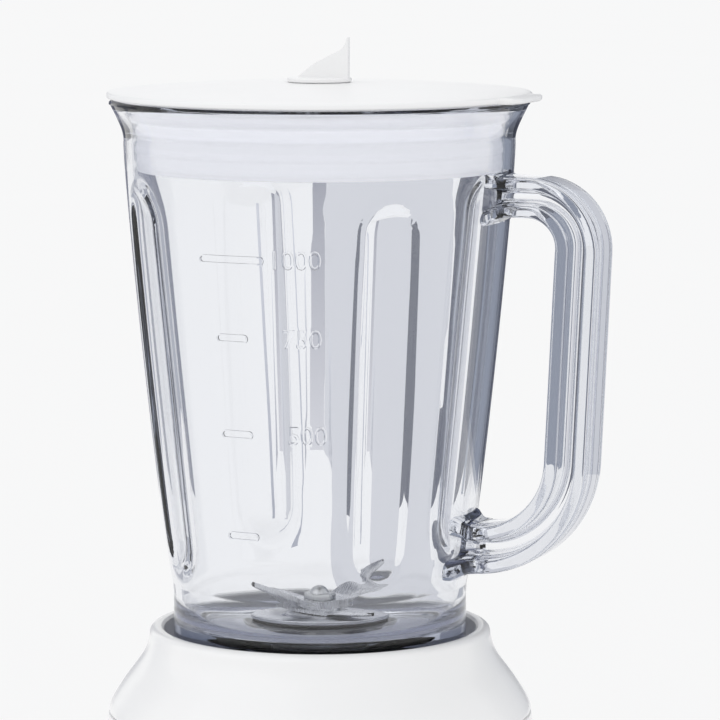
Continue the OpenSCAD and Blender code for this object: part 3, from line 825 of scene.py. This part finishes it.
class DeckOperator(bpy.types.Operator):
    """Grey seat deck in the collar, the foot ring and the inlet's grommet"""

    bl_idname = "blender_kit.deck"
    bl_label = "Deck, Foot and Grommet"

    def execute(self, context):
        deck = turned("seat_deck_plate", rounded([
            (9, -15.5, 0), (24.5, -15.5, 1.2), (24.5, -2.5, 1.5), (47.6, -2.5, 0), (47.6, -6.5, 0),
            (57.4, -6.5, 0.4), (57.4, -4.0, 0.4), (50.4, -4.0, 0), (50.4, 0, 0.5), (43, 0, 0.3),
            (42.2, -0.7, 0.3), (26, -0.7, 0.3), (25.2, 0.0, 0.3), (23.6, 0, 0.8), (22, -1.0, 0.6),
            (22, -13, 1.0), (9, -13, 0)]), 200, DECK)
        declare(deck, MATERIALS["deck"], "base", "deck_plastic", "seat_deck")
        foot = turned("foot_ring_rubber", rounded([
            (48, 4, 0), (48, 0, 0.9), (52.4, 0, 0.4), (52.8, 0.8, 0.3), (54.2, 0.8, 0.3),
            (54.6, 0, 0.4), (59, 0, 0.9), (59, 4, 0)]), 160)
        declare(foot, MATERIALS["foot"], "base", "foot_rubber", "foot_ring")
        bm = bmesh.new()
        spun(bm, rounded([(3.4, 66, 0.6), (8, 66, 0.5), (8, 68.4, 0.5), (5.9, 68.4, 0), (5.9, 74.8, 0),
                          (8, 74.8, 0.6), (8, 77, 1.0), (3.4, 77.2, 0.8)], 4), 72)
        laid(bm, -1, INLET_AXIS)
        grommet = mesh_object("inlet_grommet", bm)
        declare(grommet, MATERIALS["rubber"], "base", "black_rubber", "cable_inlet")
        return {"FINISHED"}


class DialOperator(bpy.types.Operator):
    """Dial plate with its printed steps, and the speed knob"""

    bl_idname = "blender_kit.dial"
    bl_label = "Dial and Knob"

    def execute(self, context):
        bm = bmesh.new()
        spun(bm, rounded([
            (5, 64, 0), (13.9, 64, 0), (13.9, 73.3, 0), (25, 73.3, 0), (25, 74.9, 0.8), (20.2, 75.0, 0.3),
            (12.2, 74.6, 0.3), (12.2, 65.6, 0), (5, 65.6, 0)], 4), 160)
        laid(bm, 1, KNOB_AXIS)
        dial = mesh_object("dial_plate", bm)
        declare(dial, MATERIALS["dial"], "base", "dial_grey", "dial_ring")

        print_radius = 22.4
        marks = []
        for text, angle in (("P", -45), ("0", 0), ("1", 45), ("2", 90)):
            number = digits(text, 4.6, f"dial_mark_{text}", 0.2, 0.0)
            turn = math.radians(angle)
            for vert in number.data.vertices:
                x, y, z = (c / MM for c in vert.co)
                across = x - 1.4 + print_radius * math.sin(turn)
                up = KNOB_AXIS + y + print_radius * math.cos(turn)
                vert.co = Vector((across, -75.0 - z, up)) * MM
            marks.append(number)
        print_piece = joined("dial_numerals", marks)
        declare(print_piece, MATERIALS["ink"], "base", "dial_grey")

        radius = 19.0
        bm = bmesh.new()
        spun(bm, rounded([
            (3.0, 75.4, 0), (radius - 0.6, 75.4, 0.5), (radius, 77.5, 0.8), (radius - 1.2, 87.0, 2.2),
            (radius - 5, 88.6, 3.0), (0, 89.3, 0), (0, 84.1, 0), (3.0, 84.1, 0)], 5), 192)
        count = context.scene.kit_body.knob_grooves
        for vert in bm.verts:
            reach = vert.co.xy.length
            if reach > radius - 2.4 and 77 < vert.co.z < 88.4:
                wave = 0.5 - 0.5 * math.cos(count * math.atan2(vert.co.y, vert.co.x))
                fade = min(1.0, (vert.co.z - 77) / 1.5, (88.4 - vert.co.z) / 1.5)
                vert.co.xy *= 1 - 0.55 * max(0.0, fade) * (1 - wave) ** 3 / reach
        laid(bm, 1, KNOB_AXIS)
        knob = mesh_object("speed_knob_cap", bm)
        bm = bmesh.new()
        block(bm, (-1.1, -89.9, KNOB_AXIS + 4), (1.1, -86, KNOB_AXIS + 15.5), 0.5, 3)
        pointer = mesh_object("knob_pointer", bm)
        combined(knob, [pointer], "UNION")
        smoothed(knob)
        declare(knob, MATERIALS["white"], "knob", "white_plastic", "speed_knob")
        return {"FINISHED"}


# ------------------------------------------------------------------ blades and coupling


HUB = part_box("blade_carrier")[1].z / MM
LOWER_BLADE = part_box("lower_blade")[0].z / MM
UPPER_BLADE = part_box("upper_blade")[0].z / MM


def blade_solid(name, height, lift, turn, reach=27.0, thick=1.5):
    """Blade with two wings, bent up from its middle, with ground cutting edges."""
    bm = bmesh.new()
    rows = ((0.0, -6.4, 6.4), (5.5, -6.2, 6.2), (8.0, -5.6, 5.6), (9.4, -5.4, 5.4), (11.0, -5.4, 5.4),
            (14.0, -5.4, 5.2), (18.0, -5.3, 4.4), (22.0, -5.0, 3.2), (25.4, -3.9, 1.2), (reach, -2.0, -0.6))
    for side in (1, -1):
        loops = []
        for x, low, high in rows:
            rise = 0.0 if x < 8.5 else (x - 8.5) * math.tan(math.radians(lift))
            if 8.5 <= x < 11.5:
                rise *= (x - 8.5) / 3.0
            middle = (low + high) / 2
            edge = 0.25 if x > 10 else thick
            points = ((low, (thick - edge) / 2), (low + 1.8, 0.0), (middle, 0.0), (high, 0.0),
                      (high, thick), (middle, thick), (low + 1.8, thick), (low, (thick + edge) / 2))
            loops.append([(side * x, side * y, z + rise) for y, z in points])
        verts = [[bm.verts.new(p) for p in loop] for loop in loops]
        for first, second in zip(verts, verts[1:]):
            edges = []
            for loop in (first, second):
                for i in range(len(loop)):
                    pair = (loop[i - 1], loop[i])
                    edges.append(bm.edges.get(pair) or bm.edges.new(pair))
            bmesh.ops.bridge_loops(bm, edges=edges)
        bmesh.ops.contextual_create(
            bm, geom=[bm.edges.get((verts[-1][i - 1], verts[-1][i])) for i in range(len(verts[-1]))])
    bmesh.ops.remove_doubles(bm, verts=bm.verts, dist=1e-3)
    bmesh.ops.recalc_face_normals(bm, faces=bm.faces)
    bmesh.ops.rotate(bm, verts=bm.verts, matrix=Matrix.Rotation(math.radians(turn), 3, "Z"))
    bmesh.ops.translate(bm, verts=bm.verts, vec=(0, 0, height))
    return mesh_object(name, bm, 25)


class BladesOperator(bpy.types.Operator):
    """Blade unit: carrier with its gasket, two blades and the cap nut"""

    bl_idname = "blender_kit.blades"
    bl_label = "Blade Unit"

    def execute(self, context):
        carrier = turned("blade_carrier_hub", rounded([
            (7.0, 105 - HUB, 0), (15.4, 105 - HUB, 0.6), (15.4, -3.4, 0), (22.5, -3.4, 0.4),
            (22.5, -0.9, 0.8), (13.0, -0.9, 0.5), (11.4, 0, 0.5), (7.0, 0, 0.2)]), 96, HUB)
        declare(carrier, MATERIALS["hub_steel"], "jug", "stainless", "blade_carrier")
        lower = blade_solid("lower_blade_wings", LOWER_BLADE, 5, 153)
        declare(lower, MATERIALS["steel"], "blades", "stainless", "lower_blade")
        upper = blade_solid("upper_blade_wings", UPPER_BLADE, 24, 63)
        declare(upper, MATERIALS["steel"], "blades", "stainless", "upper_blade")
        nut_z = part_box("blade_nut")[0].z / MM
        bm = bmesh.new()
        bmesh.ops.create_cone(bm, cap_ends=True, segments=6, radius1=5.4, radius2=5.4, depth=1.9,
                              matrix=Matrix.Translation((0, 0, nut_z + 0.95)))
        bmesh.ops.bevel(bm, geom=bm.edges[:], offset=0.25, segments=2, profile=0.5, affect="EDGES",
                        material=-1)
        nut = mesh_object("blade_cap_nut", bm, 25)
        crown = [(3.2 * math.cos(math.radians(a)), 1.1 + 3.2 * math.sin(math.radians(a)))
                 for a in range(8, 91, 6)]
        combined(nut, [turned("nut_crown", [(0, 1.2), (3.1, 1.2)] + crown, 64, nut_z, 40)], "UNION")
        smoothed(nut, 25)
        declare(nut, MATERIALS["zinc"], "blades", "stainless", "blade_nut")
        gasket = turned("carrier_gasket", rounded([
            (15.7, 0, 0.3), (22.2, 0, 0.5), (22.2, 1.2, 0.5), (15.7, 1.2, 0.3)]),
            96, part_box("blade_gasket")[0].z / MM)
        declare(gasket, MATERIALS["rubber"], "jug", "black_rubber", "blade_gasket")
        return {"FINISHED"}


def dog_blocks(bm, low, high, start):
    """Three rounded driving dogs round the axis."""
    block(bm, (6.6, -4.6, low), (14.8, 4.6, high), 1.1, 3)
    verts = [v for v in bm.verts if low - 0.01 <= v.co.z <= high + 0.01 and abs(v.co.y) < 4.7
             and 6.5 < v.co.x < 14.9]
    copies(bm, verts, 3)
    bmesh.ops.rotate(bm, verts=bm.verts, matrix=Matrix.Rotation(math.radians(start), 3, "Z"))


class CouplingOperator(bpy.types.Operator):
    """Clamp nut under the jug, and the two halves of the dog coupling"""

    bl_idname = "blender_kit.coupling"
    bl_label = "Clamp Nut and Coupling"

    def execute(self, context):
        low, high = (c.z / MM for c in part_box("clamp_nut"))
        bm = bmesh.new()
        spun(bm, rounded([(15.45, low, 0), (25.6, low, 0.8), (25.6, high, 0.8), (15.45, high, 0)], 4), 216)
        for vert in bm.verts:
            if vert.co.xy.length > 22:
                wave = math.cos(6 * math.atan2(vert.co.y, vert.co.x))
                vert.co.xy *= 1 - 2.4 * max(0.0, wave) ** 2 / vert.co.xy.length
        nut = mesh_object("clamp_nut_ring", bm)
        declare(nut, MATERIALS["black"], "jug", "black_plastic", "clamp_nut")
        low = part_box("drive_coupling")[0].z / MM
        bm = bmesh.new()
        dog_blocks(bm, 3.6, 9.3, 0)
        bmesh.ops.translate(bm, verts=bm.verts, vec=(0, 0, low))
        dogs = mesh_object("drive_dogs", bm)
        drive = turned("drive_coupling_hub", rounded([
            (4, 0, 0), (17, 0, 0.8), (17, 3.8, 0.8), (4, 3.8, 0)]), 96, low)
        combined(drive, [dogs], "UNION")
        declare(drive, MATERIALS["rubber"], "rotor", "black_rubber", "drive_coupling")
        low, high = (c.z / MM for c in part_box("driven_coupling"))
        bm = bmesh.new()
        dog_blocks(bm, 0.0, 5.8, 60)
        bmesh.ops.translate(bm, verts=bm.verts, vec=(0, 0, low))
        dogs = mesh_object("driven_dogs", bm)
        driven = turned("driven_coupling_hub", rounded([
            (4, 5.6, 0), (17, 5.6, 0.8), (17, high - low, 0.8), (4, high - low, 0)]), 96, low)
        combined(driven, [dogs], "UNION")
        for piece in (drive, driven):
            smoothed(piece)
        declare(driven, MATERIALS["rubber"], "blades", "black_rubber", "driven_coupling")
        return {"FINISHED"}


# ------------------------------------------------------------------ frame finishes


FINISHES = {
    "bottom_plate": "plate", "housing_screws": "zinc", "deck_seal": "rubber", "deck_screws": "zinc",
    "motor_stator": "core", "stator_coils": "copper", "motor_top_bracket": "zinc",
    "motor_bottom_bracket": "zinc", "motor_bolts": "zinc", "motor_mounts": "rubber",
    "upper_bearing": "zinc", "lower_bearing": "zinc", "brush_holders": "brown",
    "carbon_brushes": "carbon", "rotary_switch": "black", "motor_shaft": "zinc",
    "armature_core": "core", "armature_windings": "copper", "commutator": "copper_bars",
    "cooling_fan": "nylon", "bearing_bush": "bronze", "shaft_seal": "rubber",
    "blade_shaft": "hub_steel", "blade_spacer": "steel", "switch_spindle": "zinc",
}


class FinishOperator(bpy.types.Operator):
    """Finishes for the parts of the frame that stay as they are"""

    bl_idname = "blender_kit.finish"
    bl_label = "Inner Parts"

    def execute(self, context):
        for node, finish in FINISHES.items():
            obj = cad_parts[node]
            obj.data.materials.clear()
            obj.data.materials.append(MATERIALS[finish])
        return {"FINISHED"}


# ------------------------------------------------------------------ stage


def card_material(name, low_tone, high_tone, low, high):
    """Card that shows one tone at a low height and another at a high one, whatever light falls on it."""
    material, nodes, links, shader = fresh_material(name)
    shader.inputs["Base Color"].default_value = (0, 0, 0, 1)
    shader.inputs["Specular IOR Level"].default_value = 0.0
    place = nodes.new("ShaderNodeTexCoord")
    split = nodes.new("ShaderNodeSeparateXYZ")
    span = nodes.new("ShaderNodeMapRange")
    span.inputs["From Min"].default_value = low
    span.inputs["From Max"].default_value = high
    ramp = nodes.new("ShaderNodeValToRGB")
    ramp.color_ramp.elements[0].color = (*low_tone, 1)
    ramp.color_ramp.elements[1].color = (*high_tone, 1)
    links.new(place.outputs["Object"], split.inputs["Vector"])
    links.new(split.outputs["Z"], span.inputs["Value"])
    links.new(span.outputs["Result"], ramp.inputs["Fac"])
    links.new(ramp.outputs["Color"], shader.inputs["Emission Color"])
    shader.inputs["Emission Strength"].default_value = 1.0
    return material


def card(name, corners, tones):
    """Upright card through corner points, seen only in and through the glass and in gloss."""
    bm = bmesh.new()
    verts = [bm.verts.new(c) for c in corners]
    bmesh.ops.contextual_create(bm, geom=verts)
    obj = placed(name, bm)
    heights = [c[2] for c in corners]
    obj.data.materials.append(card_material(name, *tones, min(heights), max(heights)))
    obj.visible_camera = False
    obj.visible_diffuse = False
    obj.visible_shadow = False


SIDE_CARDS = (  # name, angles off the view from behind, distance, top, tones below and above
    ("card_right_near", 9, 26, 0.9, 1.1, (0.11, 0.12, 0.16), (0.09, 0.10, 0.13)),
    ("card_right_far", 26, 62, 0.8, 1.1, (0.30, 0.33, 0.40), (0.26, 0.29, 0.36)),
    ("card_left_near", -24, -13, 0.9, 1.1, (0.20, 0.21, 0.27), (0.17, 0.18, 0.23)),
    ("card_left_far", -66, -40, 0.8, 1.1, (0.42, 0.44, 0.50), (0.38, 0.40, 0.46)),
)

CARD_BEHIND = 0.16  # how far behind the axis the back cards stand, over the camera's distance
BACK_CARDS = (  # name, outline (across, height) in mm on the jug's axis plane, tones below and above
    ("card_half", ((7.6, 60), (7.6, 136), (7.6, 166), (2.5, 173), (2.5, 263), (54, 263), (50, 60)),
     (0.66, 0.67, 0.71), (0.68, 0.69, 0.73)),
    ("card_strip", ((-3.1, 173), (-3.1, 263), (2.4, 263), (2.4, 173)),
     (0.68, 0.68, 0.72), (0.33, 0.34, 0.40)),
    ("card_line_left", ((-7.9, 166), (-7.4, 232), (-6.9, 232), (-5.9, 172)),
     (0.34, 0.35, 0.41), (0.76, 0.78, 0.82)),
    ("card_line_right", ((4.6, 172), (5.6, 212), (6.1, 212), (7.4, 166)),
     (0.34, 0.35, 0.41), (0.70, 0.72, 0.78)),
    ("card_flute_wide", ((-12.4, 143), (-20.6, 254), (-18.2, 254), (-9.8, 143)),
     (0.38, 0.40, 0.47), (0.66, 0.68, 0.74)),
)


GLASS_BOUNCES = 40


class StageOperator(bpy.types.Operator):
    """Camera, pale floor, soft studio light and the cards that show in the glass"""

    bl_idname = "blender_kit.stage"
    bl_label = "Stage"

    def execute(self, context):
        scene = context.scene
        stage = scene.kit_stage
        turn = stage.azimuth
        eye = Vector((stage.distance * math.sin(turn), -stage.distance * math.cos(turn), stage.height))
        camera = bpy.data.objects.new("camera", bpy.data.cameras.new("camera"))
        camera.data.lens = stage.lens
        camera.data.clip_start, camera.data.clip_end = 0.05, 40.0
        camera.location = eye
        camera.rotation_euler = (math.pi / 2 - stage.pitch, 0.0, turn - stage.pan)
        scene.collection.objects.link(camera)
        scene.camera = camera

        bm = bmesh.new()
        bmesh.ops.create_circle(bm, cap_ends=True, segments=128, radius=16.0)
        floor = placed("floor", bm)
        material, nodes, links, shader = fresh_material("pale_floor")
        patch = noise(nodes, links, 3.0)
        varied_colour(nodes, links, shader, patch, (0.3, 0.3, 0.3), 0.004)
        shader.inputs["Emission Color"].default_value = (1, 1, 1, 1)
        shader.inputs["Emission Strength"].default_value = 0.62
        shader.inputs["Roughness"].default_value = 0.9
        shader.inputs["Specular IOR Level"].default_value = 0.0
        floor.data.materials.append(material)

        world = bpy.data.worlds.new("studio")
        scene.world = world
        world.use_nodes = True
        world.node_tree.nodes["Background"].inputs["Color"].default_value = (0.985, 0.99, 1.0, 1)
        world.node_tree.nodes["Background"].inputs["Strength"].default_value = stage.backdrop

        right = Vector((math.cos(turn), math.sin(turn), 0))
        toward = Vector((math.sin(turn), -math.cos(turn), 0))
        sun = bpy.data.objects.new("key", bpy.data.lights.new("key", "SUN"))
        sun.data.energy = 0.3
        sun.data.angle = math.radians(60)
        sun.rotation_euler = (-(toward * 0.5 - right * 0.75 + Vector((0, 0, 0.8)))).to_track_quat(
            "-Z", "Y").to_euler()
        scene.collection.objects.link(sun)

        for name, first, last, reach, top, below, above in SIDE_CARDS:
            corners = []
            for angle, height in ((first, 0.002), (last, 0.002), (last, top), (first, top)):
                a = math.radians(angle)
                spot = (right * math.sin(a) - toward * math.cos(a)) * reach
                corners.append((spot.x, spot.y, height))
            card(name, corners, (below, above))
        for name, outline, below, above in BACK_CARDS:
            corners = []
            for across, height in outline:
                spot = right * across * MM + Vector((0, 0, height * MM))
                spot += (spot - eye) * CARD_BEHIND
                corners.append(spot)
            card(name, corners, (below, above))

        scene.view_settings.view_transform = "Standard"
        scene.cycles.max_bounces = GLASS_BOUNCES
        scene.cycles.transmission_bounces = GLASS_BOUNCES
        scene.cycles.glossy_bounces = 16
        scene.cycles.diffuse_bounces = 5
        scene.cycles.use_denoising = True
        return {"FINISHED"}


# ------------------------------------------------------------------ panel


OPERATORS = (
    JugOperator, LidOperator, CapOperator, HousingOperator, DeckOperator, DialOperator,
    BladesOperator, CouplingOperator, FinishOperator, StageOperator,
)


class KitPanel(bpy.types.Panel):
    """Lists the pieces and their settings"""

    bl_idname = "VIEW3D_PT_countertop_blender"
    bl_label = "Countertop Blender"
    bl_space_type = "VIEW_3D"
    bl_region_type = "UI"
    bl_category = "Countertop Blender"

    def draw(self, context):
        layout = self.layout
        for group in (context.scene.kit_jug, context.scene.kit_body, context.scene.kit_stage):
            column = layout.column(align=True)
            for name in group.bl_rna.properties.keys():
                if name not in {"rna_type", "name"}:
                    column.prop(group, name)
        for operator in OPERATORS:
            layout.operator(operator.bl_idname)


SETTINGS = {"kit_jug": JugSettings, "kit_body": BodySettings, "kit_stage": StageSettings}


def register():
    for group in SETTINGS.values():
        bpy.utils.register_class(group)
    for name, group in SETTINGS.items():
        setattr(bpy.types.Scene, name, bpy.props.PointerProperty(type=group))
    for cls in OPERATORS + (KitPanel,):
        bpy.utils.register_class(cls)


def unregister():
    for cls in reversed(OPERATORS + (KitPanel,)):
        bpy.utils.unregister_class(cls)
    for name, group in reversed(SETTINGS.items()):
        delattr(bpy.types.Scene, name)
        bpy.utils.unregister_class(group)


def main():
    register()
    make_materials(bpy.context.scene)
    for operator in OPERATORS:
        category, name = operator.bl_idname.split(".")
        getattr(getattr(bpy.ops, category), name)()


if __name__ == "__main__":
    main()
